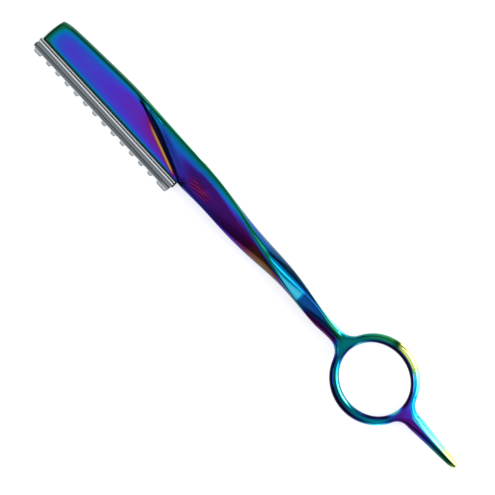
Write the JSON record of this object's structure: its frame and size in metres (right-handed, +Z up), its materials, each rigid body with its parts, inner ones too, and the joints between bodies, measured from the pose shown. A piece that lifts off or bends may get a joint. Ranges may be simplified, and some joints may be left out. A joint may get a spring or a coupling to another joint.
{
  "type": "hair thinning razor",
  "caption": "Hair thinning razor: flat blade head with a folded steel comb guard over a replaceable blade, twisted shank, oval finger ring and tapered tail.",
  "frame": {"origin": "under the middle of the razor's box, on the surface it lies on", "axes": "+X along the razor from the head's tip to the tail, +Y away from the comb guard, +Z up out of the flat side"},
  "size_m": [0.185, 0.0279, 0.0077],
  "materials": {
    "coated_steel": "polished steel with a rainbow vapour coating: blue and violet on the flats, teal and green along the edges",
    "guard_steel": "bright rolled stainless sheet with drawn lines along its length",
    "blade_steel": "ground blade strip",
    "spine_steel": "folded tin-plated strip"
  },
  "bodies": {
    "handle": {"handle": "coated_steel"},
    "guard": {"comb_guard": "guard_steel"},
    "blade": {"blade_strip": "blade_steel", "blade_spine": "spine_steel"}
  },
  "joints": [
    {"name": "guard_slide", "type": "slide", "parent": "handle", "child": "guard", "axis": [-1, 0, 0], "range_m": [0, 0.0615]},
    {"name": "blade_slide", "type": "slide", "parent": "handle", "child": "blade", "axis": [-1, 0, 0], "range_m": [0, 0.0608]}
  ]
}
